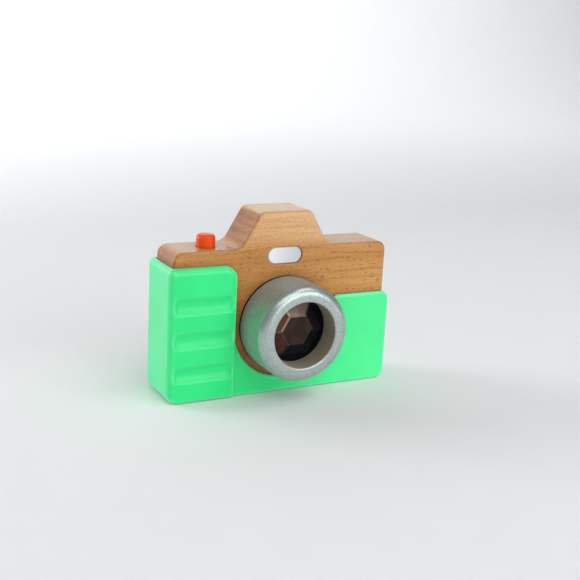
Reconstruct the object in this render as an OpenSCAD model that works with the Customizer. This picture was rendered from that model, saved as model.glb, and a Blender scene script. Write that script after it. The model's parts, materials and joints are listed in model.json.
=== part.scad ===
// Toy camera: a beech block in a soft silicone boot, with a turning kaleidoscope lens,
// a sprung shutter button and a small battery light behind a flash window.
// The front faces -Y, X runs to the viewer's right and the boot stands on Z = 0.

/* [Wooden body] */
// Width of the beech block
body_w = 119; // [114:0.5:126]
// Thickness of the beech block, front to back
body_d = 24; // [22:0.5:30]
// Height of the shoulders above the foot of the block
shoulder_h = 72.2; // [71:0.1:80]
// Height of the hump above the shoulders
hump_h = 18; // [17:0.5:24]
// Width of the hump along its top
hump_top_w = 28; // [26:0.5:34]
// Width of the hump where it meets the shoulders
hump_base_w = 49; // [46:0.5:56]
// Corner radius of the shoulders
shoulder_r = 5; // [2:0.5:8]
// Corner radius of the top of the hump
hump_r = 4; // [2:0.5:6]
// Radius of the inside curve at the foot of the hump
hump_foot_r = 6; // [3:0.5:9]
// Corner radius at the foot of the block
foot_r = 3; // [1:0.5:5]

/* [Silicone boot] */
// Thickness of the boot under and beside the block
boot_wall = 2.9; // [2:0.1:5]
// Thickness of the boot in front of the block
boot_front = 1.9; // [1.2:0.1:3]
// Thickness of the boot behind the block
boot_back = 3.9; // [2:0.1:5]
// Clearance between the boot and the block
boot_gap = 0.1; // [0.05:0.05:0.3]
// Height of the low side of the boot
block_h = 48.5; // [44:0.5:54]
// Height of the finger grip
grip_h = 68; // [62:0.5:70]
// How far the finger grip stands in front of the rest of the boot
grip_proud = 1.8; // [0.5:0.1:3]
// Corner radius of the boot's low corners and of its low side
boot_r = 5.3; // [3:0.1:8]
// Corner radius of the finger grip beside the lens
grip_r = 6.2; // [3:0.1:9]
// Radius of the boot's upright edges
upright_r = 3.4; // [1:0.1:5]
// Radius of the upright edge at the front of the boot's low side
low_side_r = 1.7; // [0.5:0.1:1.9]
// Radius of the small corners along the boot's rim
rim_r = 2.8; // [1:0.1:4]
// Room around the lens in the front of the boot
lens_room = 3.4; // [2:0.1:6]
// Room around the eyepiece in the back of the boot
eyepiece_room = 3; // [2:0.1:6]
// Width of the ear that wraps round the back of the grip
ear_w = 7.6; // [5:0.1:8.5]
// Number of finger grooves
groove_count = 3; // [2:1:3]
// Width of a finger groove
groove_w = 8; // [5:0.1:10]
// Depth of a finger groove
groove_depth = 1.5; // [0.5:0.1:2.5]
// Distance from groove to groove
groove_pitch = 17.2; // [14:0.1:19]
// Height of the lowest groove's middle
groove_z = 14.9; // [11:0.1:17]
// Land left at each end of a groove
groove_land = 2.4; // [1.5:0.1:5]

/* [Lens] */
// Offset of the lens axis from the middle of the body
lens_x = 0.5; // [-2:0.1:2]
// Height of the lens axis
lens_z = 36; // [34:0.1:37]
// Outer radius of the barrel
barrel_r = 24.5; // [22:0.1:26]
// Length of the barrel
barrel_len = 23.3; // [18:0.1:30]
// Rounding of the barrel's front edge
nose_r = 4.5; // [2:0.1:6]
// Radius of the mouth in front of the glass
mouth_r = 16.8; // [15:0.1:17.4]
// Depth of the mouth from the barrel's front to the glass
mouth_depth = 9; // [7:0.1:11]
// Rounding of the mouth's edge
mouth_lip_r = 0.8; // [0.3:0.1:1.5]
// Thickness of the felt washer behind the barrel
washer_t = 1; // [0.6:0.1:2]
// Outer radius of the tube that turns in the block
tube_r = 18; // [17.8:0.1:19]
// Wall of the tube
tube_wall = 2.2; // [1.5:0.1:3]
// Running clearance of the tube in the block, on the radius
tube_clear = 0.06; // [0.02:0.01:0.1]
// Clearance beside the turning pieces
turn_gap = 0.1; // [0.05:0.05:0.3]
// Clearance between glued pieces
seat_gap = 0.03; // [0.02:0.01:0.1]
// Number of sloping facets on the kaleidoscope glass
facet_count = 6; // [5:1:10]
// Height of the facets
facet_h = 3; // [1:0.1:5]
// Thickness of the glass at its edge
glass_t = 2; // [1.5:0.1:3]

/* [Eyepiece] */
// Outer radius of the eyepiece ring
eyepiece_r = 20.2; // [19.6:0.1:21]
// Radius of the sight hole
sight_r = 11; // [8:0.1:14]
// Thickness of the eyepiece window
window_t = 1.9; // [1.2:0.1:2.5]
// Length of the tube held in the eyepiece ring
eyepiece_grip = 2.7; // [2:0.1:4]
// Thickness of the eyepiece ring's lip
eyepiece_lip = 1.3; // [1:0.1:2]

/* [Shutter button] */
// Distance of the button from the grip side of the block
button_inset = 21.1; // [20:0.1:25]
// Radius of the button
button_r = 4.75; // [4:0.05:5.5]
// Height of the button above the shoulder
button_rise = 6.3; // [5:0.1:8]
// Rounding of the button's top edge
button_round = 1.8; // [0.5:0.1:3]
// Travel of the button
button_travel = 2; // [1:0.1:2.4]
// Clearance of the button in its hole, on the radius
button_clear = 0.1; // [0.05:0.05:0.3]
// Radius of the flange that keeps the button in
flange_r = 6.2; // [5.8:0.1:6.8]
// Thickness of the flange
flange_t = 1.5; // [1:0.1:2]
// Length of the return spring
spring_len = 5; // [4.6:0.1:5.2]
// Wire diameter of the return spring
spring_wire = 0.6; // [0.4:0.05:0.7]
// Turns of the return spring
spring_turns = 3; // [2:1:4]

/* [Flash window] */
// Width of the flash window
flash_w = 19; // [16:0.5:22]
// Height of the flash window
flash_h = 8.6; // [7:0.1:9.4]
// Height of the flash window's middle
flash_z = 70.9; // [69.8:0.1:71.6]
// How far the window sits behind the front of the block
flash_recess = 0.5; // [0.3:0.1:1]
// Thickness of the flash window
flash_t = 2; // [1.5:0.1:2.4]

/* [Light and battery] */
// Wood left in front of the rear pocket
pocket_front = 5; // [4.6:0.1:5.6]
// Wood left above the pocket's wing
pocket_roof = 4.5; // [4:0.1:5]
// Wood left between the lens bore and the pocket
bore_land = 5.4; // [5.1:0.1:5.6]
// Distance of the pocket's wing from the grip side of the block
wing_inset = 12.5; // [12:0.1:13.5]
// Width of the pocket's tower
tower_w = 29; // [28.6:0.1:30]
// Rise of the pocket's tower above the shoulders
tower_rise = 9; // [8.8:0.1:10]
// Thickness of the circuit board
board_t = 1.2; // [0.8:0.1:1.6]
// Radius of a button cell
cell_r = 5.8; // [5.6:0.05:5.9]
// Thickness of a button cell
cell_t = 5.4; // [5:0.1:5.6]
// Thickness of the rear cover
cover_t = 2; // [1.6:0.1:2.6]
// Thickness of the battery door
door_t = 1.8; // [1.4:0.1:2]
// Radius of the cover screws
cover_screw_r = 1.1; // [0.8:0.1:1.3]
// Length of the cover screws
cover_screw_len = 9; // [6:0.5:11]
// Radius of the small screws
small_screw_r = 0.75; // [0.5:0.05:0.9]
// Length of the small screws
small_screw_len = 5; // [4:0.1:5.4]

/* [Hidden] */

$fn = 96;
arc_step = 9;
overrun = 1;

// Main planes and heights
front_y = -body_d / 2;
back_y = body_d / 2;
foot_z = boot_wall + boot_gap;
shoulder_z = foot_z + shoulder_h;
hump_z = shoulder_z + hump_h;
button_x = -body_w / 2 + button_inset;

// Boot
boot_half = body_w / 2 + boot_gap + boot_wall;
boot_front_y = front_y - boot_gap - boot_front;
grip_front_y = boot_front_y - grip_proud;
boot_back_y = back_y + boot_gap + boot_back;
cutout_r = barrel_r + lens_room;
grip_edge = lens_x - cutout_r;
rear_cutout_r = eyepiece_r + eyepiece_room;
ear_edge = -boot_half + ear_w;
step_r = grip_proud / 3;
groove_r = (pow(groove_w / 2, 2) + pow(groove_depth, 2)) / (2 * groove_depth);
groove_left = -boot_half + groove_land;
groove_right = grip_edge - groove_land;

// Lens, in distances forward of the middle of the block
washer_f = body_d / 2 + washer_t;
barrel_back_f = washer_f + turn_gap;
barrel_front_f = barrel_back_f + barrel_len;
glass_seat_f = barrel_front_f - mouth_depth - facet_h;
glass_back_f = glass_seat_f - glass_t;
tube_front_f = glass_back_f - seat_gap;
eyepiece_front_f = -body_d / 2 - turn_gap;
tube_back_f = eyepiece_front_f - eyepiece_grip;
window_back_f = tube_back_f - seat_gap - window_t;
eyepiece_back_f = window_back_f - seat_gap - eyepiece_lip;
tube_bore_r = tube_r - tube_wall;
seat_r = tube_r + seat_gap;
bore_r = tube_r + tube_clear;
washer_clear = 0.4;
washer_hole_r = bore_r + washer_clear;
facet_base_share = 0.93;
facet_table_share = 0.52;
edge_r = eyepiece_lip / 2;

// Rear pocket: a long wing below the button and a tower behind the flash window
pocket_y = front_y + pocket_front;
wing_left = -body_w / 2 + wing_inset;
pocket_floor = lens_z + bore_r + bore_land;
wing_top = shoulder_z - pocket_roof;
tower_top = shoulder_z + tower_rise;
pocket_r = 2;
ledge = 1.6;
cover_ear = 6.2;
cover_gap = 0.15;
top_ear_r = 3.2;
cover_left = wing_left - cover_ear;
cover_right = tower_w / 2 + cover_ear;
cover_low = pocket_floor - ledge;
cover_mid = (pocket_floor + wing_top) / 2;
top_ear_z = tower_top + ledge + top_ear_r / 2;
cover_front_y = back_y - cover_t;
screw_clear = 0.05;
head_share = 1.8;
cover_screw_spots = [
    [wing_left - cover_ear / 2, cover_mid],
    [tower_w / 2 + cover_ear / 2, cover_mid],
    [0, top_ear_z]
];

// Circuit board against the front of the pocket
board_gap = 0.8;
board_back_y = pocket_y + board_t;
board_left = wing_left + board_gap;
board_low = pocket_floor + board_gap;
board_wing_h = 6;
board_half = tower_w / 2 - board_gap;
board_screw_spots = [
    [(button_x - tower_w / 2) / 2, board_low + board_wing_h / 2],
    [board_half - board_wing_h / 2, board_low + board_wing_h / 2]
];

// Flash window and its light
flash_ledge = 1.2;
flash_gap = 0.1;
flash_front_y = front_y + flash_recess;
flash_back_y = flash_front_y + flash_t;
led_r = 2.2;
led_flange_r = 2.6;
led_flange_t = 0.6;
led_gap = 0.2;
led_front_y = flash_back_y + led_gap;

// Button, spring and switch, from the pocket's roof down
flange_gap = 0.1;
flange_top_z = wing_top - flange_gap;
flange_low_z = flange_top_z - flange_t;
stem_r = 1.5;
stem_len = 1.2;
spring_seat_gap = 0.05;
switch_top_z = flange_low_z - spring_len;
plunger_r = 1.6;
plunger_gap = 0.2;
plunger_h = spring_len - stem_len - button_travel - plunger_gap;
switch_w = 6.2;
switch_h = 4;
switch_back = 3.1;
spring_mean_r = 2.3;
wire_sides = 6;
wire_rings = 16;

// Battery holder behind the board
cell_count = 3;
holder_wall = 1.5;
holder_gap = 0.1;
cell_gap = 0.2;
holder_top = tower_top - board_gap;
holder_z = holder_top - holder_wall - cell_gap - cell_r;
holder_low = holder_z - cell_r - cell_gap - holder_wall;
holder_front_y = board_back_y + holder_gap;
holder_back_y = back_y - max(door_t, cover_t) - holder_gap;
cell_y = holder_back_y - cell_gap - cell_r;
contact_t = 0.4;
contact_spring_len = 2.6;
contact_h = 7;
bay_w = cell_count * cell_t + contact_spring_len + 2 * contact_t;
bay_left = -bay_w / 2;
holder_half = tower_w / 2 - board_gap;
post_x = (holder_half + bay_w / 2) / 2;
door_gap = 0.2;
door_half = holder_half - door_gap;
door_low = holder_low + door_gap;
door_high = holder_top - door_gap;
door_r = 1.5;
door_rib_w = 1;
door_rib_h = 0.4;
door_rib_count = 4;

// Points along an arc about a centre, from one angle to another
function arc(centre, r, from, to) =
    let (steps = max(1, ceil(abs(to - from) / arc_step)))
    [for (i = [0:steps])
        let (a = from + (to - from) * i / steps)
        centre + r * [cos(a), sin(a)]];

// Points that round one corner between two others
function corner(a, b, c, r) =
    let (
        u = (a - b) / norm(a - b),
        v = (c - b) / norm(c - b),
        half = acos(u * v) / 2,
        side = cross(b - a, c - b) > 0 ? 1 : -1,
        centre = b + (u + v) / norm(u + v) * r / sin(half),
        start = b + u * r / tan(half) - centre,
        from = atan2(start.y, start.x)
    )
    arc(centre, r, from, from + side * (180 - 2 * half));

// A closed outline from [x, y, radius] corners
function rounded(p) =
    [for (i = [0:len(p) - 1])
        let (
            a = p[(i + len(p) - 1) % len(p)],
            b = p[i],
            c = p[(i + 1) % len(p)],
            here = [b.x, b.y]
        )
        each b.z > 0 ? corner([a.x, a.y], here, [c.x, c.y], b.z) : [here]];

function rounded_box(left, right, low, high, r) =
    rounded([[left, low, r], [right, low, r], [right, high, r], [left, high, r]]);

// An upright outline given thickness from one depth to another
module slab(y0, y1) {
    translate([0, y1, 0])
        rotate([90, 0, 0])
            linear_extrude(y1 - y0)
                children();
}

// A round bar along Y
module rod(x, z, y0, y1, r) {
    translate([x, y1, z])
        rotate([90, 0, 0])
            cylinder(h = y1 - y0, r = r);
}

// A turned piece on the lens axis, from [radius, distance forward] points
module turned(profile) {
    translate([lens_x, 0, lens_z])
        rotate([90, 0, 0])
            rotate_extrude()
                polygon(profile);
}

// A flat shape with round ends
module pill(w, h) {
    square([w - h, h], center = true);
    for (side = [-1, 1])
        translate([side * (w - h) / 2, 0])
            circle(d = h);
}

// The front outline of the block
module body_outline() {
    polygon(rounded([
        [-body_w / 2, foot_z, foot_r],
        [body_w / 2, foot_z, foot_r],
        [body_w / 2, shoulder_z, shoulder_r],
        [hump_base_w / 2, shoulder_z, hump_foot_r],
        [hump_top_w / 2, hump_z, hump_r],
        [-hump_top_w / 2, hump_z, hump_r],
        [-hump_base_w / 2, shoulder_z, hump_foot_r],
        [-body_w / 2, shoulder_z, shoulder_r]
    ]));
}

// The rear pocket's outline
module pocket_outline() {
    half = tower_w / 2;
    polygon(rounded_box(wing_left, half, pocket_floor, wing_top, pocket_r));
    polygon(rounded_box(-half, half, pocket_floor, tower_top, pocket_r));
}

// The rear cover's outline, wider than the pocket by a ledge and three screw ears
module cover_outline(grow) {
    half = tower_w / 2 + ledge + grow;
    low = cover_low - grow;
    wing_high = wing_top + ledge + grow;
    high = tower_top + ledge + grow;
    polygon(rounded_box(cover_left - grow, cover_right + grow, low, wing_high, pocket_r));
    polygon(rounded_box(-half, half, low, high, pocket_r));
    translate([0, top_ear_z])
        circle(r = top_ear_r + grow);
}

// A countersunk screw along Y: its head is flush at y1 and its shank runs forward
module screw(spot, y1, r, len) {
    head_r = r * head_share;
    head_h = head_r - r;
    rod(spot.x, spot.y, y1 - len, y1 - head_h, r);
    translate([spot.x, y1, spot.y])
        rotate([90, 0, 0])
            cylinder(h = head_h, r1 = head_r, r2 = r);
}

// The hole for such a screw
module screw_hole(spot, y1, r, len) {
    head_r = r * head_share + screw_clear;
    head_h = r * head_share - r;
    rod(spot.x, spot.y, y1 - len - screw_clear, y1 + overrun, r + screw_clear);
    translate([spot.x, y1, spot.y])
        rotate([90, 0, 0])
            cylinder(h = head_h, r1 = head_r, r2 = r + screw_clear);
}

// A coil spring that stands on Z = 0
module coil(mean_r, wire, len, turns) {
    rings = turns * wire_rings;
    climb = len - wire;
    points = [for (i = [0:rings])
        let (a = 360 * turns * i / rings, rise = wire / 2 + climb * i / rings)
        for (k = [0:wire_sides - 1])
            let (b = 360 * k / wire_sides, out = mean_r + wire / 2 * cos(b))
            [out * cos(a), out * sin(a), rise + wire / 2 * sin(b)]];
    walls = [for (i = [0:rings - 1])
        for (k = [0:wire_sides - 1])
            let (here = i * wire_sides, next = (k + 1) % wire_sides)
            each [
                [here + k, here + wire_sides + next, here + wire_sides + k],
                [here + k, here + next, here + wire_sides + next]
            ]];
    last = rings * wire_sides;
    caps = [for (k = [1:wire_sides - 2])
        each [[0, k + 1, k], [last, last + k, last + k + 1]]];
    polyhedron(points, concat(walls, caps));
}

// The beech block, bored for the lens and the button and milled out from the back
module wooden_body() {
    color("burlywood")
    difference() {
        slab(front_y, back_y)
            body_outline();
        rod(lens_x, lens_z, front_y - overrun, back_y + overrun, bore_r);
        translate([button_x, 0, wing_top - overrun])
            cylinder(h = pocket_roof + 2 * overrun, r = button_r + button_clear);
        slab(front_y - overrun, flash_back_y)
            translate([0, flash_z])
                pill(flash_w, flash_h);
        slab(flash_back_y - overrun, pocket_y + overrun)
            translate([0, flash_z])
                pill(flash_w - 2 * flash_ledge, flash_h - 2 * flash_ledge);
        slab(pocket_y, back_y + overrun)
            pocket_outline();
        slab(cover_front_y, back_y + overrun)
            cover_outline(cover_gap);
        for (spot = cover_screw_spots)
            screw_hole(spot, back_y, cover_screw_r, cover_screw_len);
        for (spot = board_screw_spots)
            screw_hole(spot, board_back_y, small_screw_r, small_screw_len);
    }
}

// The boot's front outline: the tall grip, the round lens cut-out and the low side
module boot_front_outline() {
    polygon(concat(
        rounded([
            [grip_edge, lens_z, 0],
            [grip_edge, grip_h, grip_r],
            [-boot_half, grip_h, rim_r],
            [-boot_half, 0, boot_r],
            [boot_half, 0, boot_r],
            [boot_half, block_h, boot_r],
            [lens_x + cutout_r, block_h, rim_r],
            [lens_x + cutout_r, lens_z, 0]
        ]),
        arc([lens_x, lens_z], cutout_r, -arc_step, arc_step - 180)
    ));
}

// The boot's back outline: a low wall with a round cut-out and an ear behind the grip
module boot_back_outline() {
    polygon(concat(
        rounded([
            [lens_x - rear_cutout_r, lens_z, 0],
            [lens_x - rear_cutout_r, block_h, rim_r],
            [ear_edge, block_h, boot_r],
            [ear_edge, grip_h, rim_r],
            [-boot_half, grip_h, rim_r],
            [-boot_half, 0, boot_r],
            [boot_half, 0, boot_r],
            [boot_half, block_h, boot_r],
            [lens_x + rear_cutout_r, block_h, rim_r],
            [lens_x + rear_cutout_r, lens_z, 0]
        ]),
        arc([lens_x, lens_z], rear_cutout_r, -arc_step, arc_step - 180)
    ));
}

// The boot from above, with the grip standing forward
module boot_plan() {
    polygon(rounded([
        [-boot_half, grip_front_y, upright_r],
        [grip_edge, grip_front_y, step_r],
        [grip_edge, boot_front_y, step_r],
        [boot_half, boot_front_y, low_side_r],
        [boot_half, boot_back_y, upright_r],
        [-boot_half, boot_back_y, upright_r]
    ]));
}

// The soft boot that the block is pushed down into
module silicone_boot() {
    cavity_half = body_w / 2 + boot_gap;
    color("mediumspringgreen")
    difference() {
        intersection() {
            union() {
                slab(grip_front_y - overrun, 0)
                    boot_front_outline();
                slab(0, boot_back_y + overrun)
                    boot_back_outline();
            }
            translate([0, 0, -overrun])
                linear_extrude(grip_h + 2 * overrun)
                    boot_plan();
        }
        slab(front_y - boot_gap, back_y + boot_gap)
            polygon(rounded([
                [-cavity_half, boot_wall, foot_r],
                [cavity_half, boot_wall, foot_r],
                [cavity_half, grip_h + overrun, 0],
                [-cavity_half, grip_h + overrun, 0]
            ]));
        for (i = [0:groove_count - 1])
            translate([groove_left, grip_front_y + groove_depth - groove_r, groove_z + i * groove_pitch])
                rotate([0, 90, 0])
                    cylinder(h = groove_right - groove_left, r = groove_r);
    }
}

// The black felt that the barrel turns against
module felt_washer() {
    color("black")
        turned([
            [washer_hole_r, body_d / 2],
            [barrel_r, body_d / 2],
            [barrel_r, washer_f],
            [washer_hole_r, washer_f]
        ]);
}

// The turned silver barrel with a rounded nose and a deep mouth
module lens_barrel() {
    nose = [barrel_r - nose_r, barrel_front_f - nose_r];
    lip = [mouth_r + mouth_lip_r, barrel_front_f - mouth_lip_r];
    color("silver")
        turned(concat(
            [[seat_r, barrel_back_f], [barrel_r, barrel_back_f]],
            arc(nose, nose_r, 0, 90),
            arc(lip, mouth_lip_r, 90, 180),
            [[mouth_r, glass_seat_f], [seat_r, glass_seat_f]]
        ));
}

// The clear disc whose sloping facets multiply the view
module kaleidoscope_glass() {
    color("dimgray")
    translate([lens_x, 0, lens_z])
        rotate([90, 0, 0]) {
            translate([0, 0, glass_back_f])
                cylinder(h = glass_t - seat_gap, r = tube_r - seat_gap);
            translate([0, 0, glass_seat_f - glass_t / 2])
                cylinder(
                    h = facet_h + glass_t / 2,
                    r1 = mouth_r * facet_base_share,
                    r2 = mouth_r * facet_table_share,
                    $fn = facet_count
                );
        }
}

// The tube that carries the lens through the block
module lens_tube() {
    color("black")
        turned([
            [tube_bore_r, tube_back_f],
            [tube_r, tube_back_f],
            [tube_r, tube_front_f],
            [tube_bore_r, tube_front_f]
        ]);
}

// The ring that closes the tube behind the block
module eyepiece_ring() {
    rim = [eyepiece_r - edge_r, eyepiece_back_f + edge_r];
    lip = [sight_r + edge_r, eyepiece_back_f + edge_r];
    window_seat_r = tube_bore_r + tube_wall / 2 + seat_gap;
    color("silver")
        turned(concat(
            [[seat_r, eyepiece_front_f], [seat_r, tube_back_f - seat_gap / 2]],
            [[window_seat_r, tube_back_f - seat_gap / 2], [window_seat_r, window_back_f - seat_gap]],
            [[sight_r, window_back_f - seat_gap]],
            arc(lip, edge_r, 180, 270),
            arc(rim, edge_r, 270, 360),
            [[eyepiece_r, eyepiece_front_f]]
        ));
}

// The clear disc held between the eyepiece ring and the tube
module eyepiece_window() {
    color("lightcyan")
        translate([lens_x, 0, lens_z])
            rotate([90, 0, 0])
                translate([0, 0, window_back_f])
                    cylinder(h = window_t, r = tube_bore_r + tube_wall / 2);
}

// The orange button with a flange that keeps it in and a stem that works the switch
module shutter_button() {
    top = shoulder_z + button_rise;
    round_centre = [button_r - button_round, top - button_round];
    color("orangered")
        translate([button_x, 0, 0])
            rotate_extrude()
                polygon(concat(
                    [
                        [0, flange_low_z - stem_len],
                        [stem_r, flange_low_z - stem_len],
                        [stem_r, flange_low_z],
                        [flange_r, flange_low_z],
                        [flange_r, flange_top_z],
                        [button_r, flange_top_z]
                    ],
                    arc(round_centre, button_round, 0, 90),
                    [[0, top]]
                ));
}

// The coil that lifts the button, standing on the switch
module button_spring() {
    color("silver")
        translate([button_x, 0, switch_top_z + spring_seat_gap])
            coil(spring_mean_r, spring_wire, spring_len - 2 * spring_seat_gap, spring_turns);
}

// The push switch on the board below the button
module tact_switch() {
    color("dimgray") {
        translate([button_x - switch_w / 2, board_back_y, switch_top_z - switch_h])
            cube([switch_w, switch_back - board_back_y, switch_h]);
        translate([button_x, 0, switch_top_z - switch_h / 2])
            cylinder(h = switch_h / 2 + plunger_h, r = plunger_r);
    }
}

// The board against the front of the pocket
module circuit_board() {
    color("seagreen")
    difference() {
        slab(pocket_y, board_back_y) {
            translate([board_left, board_low])
                square([board_half - board_left, board_wing_h]);
            translate([-board_half, board_low])
                square([2 * board_half, holder_top - board_low]);
        }
        for (spot = board_screw_spots)
            screw_hole(spot, board_back_y, small_screw_r, small_screw_len);
    }
}

// Two screws that hold the board to the block
module board_screws() {
    color("silver")
        for (spot = board_screw_spots)
            screw(spot, board_back_y, small_screw_r, small_screw_len);
}

// The white light on the front of the board
module flash_led() {
    color("white") {
        rod(0, flash_z, pocket_y - led_flange_t, pocket_y, led_flange_r);
        rod(0, flash_z, led_front_y, pocket_y, led_r);
    }
}

// The milky window in front of the light
module flash_window() {
    color("white")
        slab(flash_front_y, flash_back_y)
            translate([0, flash_z])
                pill(flash_w - 2 * flash_gap, flash_h - 2 * flash_gap);
}

// The open tray that the cells lie in, with a post for a screw at each end
module battery_holder() {
    bay_r = cell_r + cell_gap;
    color("ivory")
    difference() {
        slab(holder_front_y, holder_back_y)
            translate([-holder_half, holder_low])
                square([2 * holder_half, holder_top - holder_low]);
        translate([bay_left, cell_y, holder_z])
            rotate([0, 90, 0])
                cylinder(h = bay_w, r = bay_r);
        translate([bay_left, cell_y, holder_z - bay_r])
            cube([bay_w, holder_back_y - cell_y + overrun, 2 * bay_r]);
        for (x = [bay_left, -bay_left - contact_t])
            translate([x, holder_front_y - overrun, holder_z - contact_h / 2 - cell_gap])
                cube([contact_t, cell_y - holder_front_y + overrun, contact_h + 2 * cell_gap]);
        for (side = [-1, 1])
            screw_hole([side * post_x, holder_z], back_y, small_screw_r, small_screw_len);
    }
}

// One button cell, with its smaller pole to the right
module button_cell(place) {
    pole_t = cell_t / 6;
    pole_share = 0.75;
    color("silver")
        translate([bay_left + contact_t + place * cell_t, cell_y, holder_z])
            rotate([0, 90, 0]) {
                cylinder(h = cell_t - pole_t, r = cell_r);
                cylinder(h = cell_t, r = cell_r * pole_share);
            }
}

// The flat contact at the left end of the tray, standing on the board
module positive_contact() {
    color("gold")
        translate([bay_left, board_back_y, holder_z - contact_h / 2])
            cube([contact_t, holder_back_y - board_back_y - cell_r, contact_h]);
}

// The contact at the right end, with a coil that presses the cells together
module negative_contact() {
    coil_r = contact_h / 2 - spring_wire;
    coil_len = contact_spring_len + contact_t / 2 - spring_seat_gap;
    color("gold") {
        translate([-bay_left - contact_t, board_back_y, holder_z - contact_h / 2])
            cube([contact_t, holder_back_y - board_back_y - cell_r, contact_h]);
        translate([-bay_left - contact_t / 2, cell_y, holder_z])
            rotate([0, -90, 0])
                coil(coil_r, spring_wire, coil_len, spring_turns - 1);
    }
}

// The plate let into the back of the block, with an opening for the battery door
module rear_cover() {
    color("whitesmoke")
    difference() {
        slab(cover_front_y, back_y)
            cover_outline(0);
        slab(cover_front_y - overrun, back_y + overrun)
            polygon(rounded_box(-holder_half, holder_half, holder_low, holder_top, door_r));
        for (spot = cover_screw_spots)
            screw_hole(spot, back_y, cover_screw_r, cover_screw_len);
    }
}

// Three screws through the cover's ears
module cover_screws() {
    color("silver")
        for (spot = cover_screw_spots)
            screw(spot, back_y, cover_screw_r, cover_screw_len);
}

// The door over the cells, with finger ribs
module battery_door() {
    rib_pitch = (2 * door_half - 2 * cover_ear) / door_rib_count;
    color("gainsboro")
    difference() {
        slab(back_y - door_t, back_y)
            polygon(rounded_box(-door_half, door_half, door_low, door_high, door_r));
        for (i = [0:door_rib_count])
            translate([
                -door_half + cover_ear + i * rib_pitch - door_rib_w / 2,
                back_y - door_rib_h,
                door_low + holder_wall
            ])
                cube([door_rib_w, door_rib_h + overrun, door_high - door_low - 2 * holder_wall]);
        for (side = [-1, 1])
            screw_hole([side * post_x, holder_z], back_y, small_screw_r, small_screw_len);
    }
}

// Two captive screws that hold the door to the tray
module door_screws() {
    color("silver")
        for (side = [-1, 1])
            screw([side * post_x, holder_z], back_y, small_screw_r, small_screw_len);
}

wooden_body();
silicone_boot();
felt_washer();
lens_barrel();
kaleidoscope_glass();
lens_tube();
eyepiece_ring();
eyepiece_window();
shutter_button();
button_spring();
tact_switch();
circuit_board();
board_screws();
flash_led();
flash_window();
battery_holder();
button_cell(0);  // button_cell_1
button_cell(1);  // button_cell_2
button_cell(2);  // button_cell_3
positive_contact();
negative_contact();
rear_cover();
cover_screws();
battery_door();
door_screws();
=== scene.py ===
import json
import math

import bmesh
import bpy
import numpy as np
from mathutils import Matrix, Vector


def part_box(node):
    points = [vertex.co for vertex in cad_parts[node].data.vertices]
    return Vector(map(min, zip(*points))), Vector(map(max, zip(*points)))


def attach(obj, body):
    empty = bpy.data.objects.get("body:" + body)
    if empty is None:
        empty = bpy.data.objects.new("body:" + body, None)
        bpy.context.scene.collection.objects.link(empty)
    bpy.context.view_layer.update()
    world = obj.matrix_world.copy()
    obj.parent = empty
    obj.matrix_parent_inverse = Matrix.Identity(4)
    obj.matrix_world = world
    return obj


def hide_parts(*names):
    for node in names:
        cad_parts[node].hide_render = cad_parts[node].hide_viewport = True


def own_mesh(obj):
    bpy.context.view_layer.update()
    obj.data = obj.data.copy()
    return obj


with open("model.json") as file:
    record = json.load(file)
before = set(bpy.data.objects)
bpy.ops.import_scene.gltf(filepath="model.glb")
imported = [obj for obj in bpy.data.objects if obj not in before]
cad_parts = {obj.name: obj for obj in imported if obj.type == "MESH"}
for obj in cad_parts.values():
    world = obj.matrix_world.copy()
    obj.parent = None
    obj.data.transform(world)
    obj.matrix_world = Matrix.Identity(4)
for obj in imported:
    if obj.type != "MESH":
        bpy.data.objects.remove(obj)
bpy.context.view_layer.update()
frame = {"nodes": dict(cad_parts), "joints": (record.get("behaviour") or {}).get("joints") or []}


# Wooden block
# A block of steamed beech with a hump, sawn to its outline, rounded over along its edges, sanded and oiled.
# It is bored for the lens and the button, and milled out from the back for the light and its battery.
# Sizes here and below are in millimetres, and mm turns them into metres.

mm = 0.001


def sides(name):
    """A CAD node's left, right, front, back, low and high sides at rest."""
    low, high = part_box(name)
    return [round(v / mm, 3) for pair in zip(low, high) for v in pair]


def outline(corners, inset=0.0, step=6.0):
    """Counterclockwise points round (x, z, radius) corners, moved in by inset, always the same count."""
    points = []
    places = [np.array(corner[:2], float) for corner in corners]
    for i, (_, _, radius) in enumerate(corners):
        before, here, after = places[i - 1], places[i], places[(i + 1) % len(places)]
        u = (here - before) / np.linalg.norm(here - before)
        v = (after - here) / np.linalg.norm(after - here)
        left_u, left_v = np.array([-u[1], u[0]]), np.array([-v[1], v[0]])
        angle = math.atan2(u[0] * v[1] - u[1] * v[0], u @ v)
        side = math.copysign(1, angle)
        moved = here + inset * (left_u + left_v) / (1 + u @ v)
        if radius == 0:
            points.append(moved)
            continue
        r = max(radius - side * inset, 0.001)
        start = moved - u * r * math.tan(abs(angle) / 2)
        centre = start + side * r * left_u
        dx, dz = start - centre
        steps = max(1, math.ceil(math.degrees(abs(angle)) / step))
        for k in range(steps + 1):
            c, s = math.cos(angle * k / steps), math.sin(angle * k / steps)
            points.append(centre + np.array([c * dx - s * dz, s * dx + c * dz]))
    return np.array(points)


def stand(name, data):
    """A new object in the scene."""
    piece = bpy.data.objects.new(name, data)
    bpy.context.scene.collection.objects.link(piece)
    return piece


def solid(name, points, faces):
    """A closed mesh object with its doubles merged and its faces outwards."""
    mesh = bpy.data.meshes.new(name)
    mesh.from_pydata(np.asarray(points, float) * mm, [], faces)
    shaped = bmesh.new()
    shaped.from_mesh(mesh)
    bmesh.ops.remove_doubles(shaped, verts=shaped.verts, dist=1e-7)
    bmesh.ops.recalc_face_normals(shaped, faces=shaped.faces)
    shaped.to_mesh(mesh)
    shaped.free()
    return stand(name, mesh)


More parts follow.
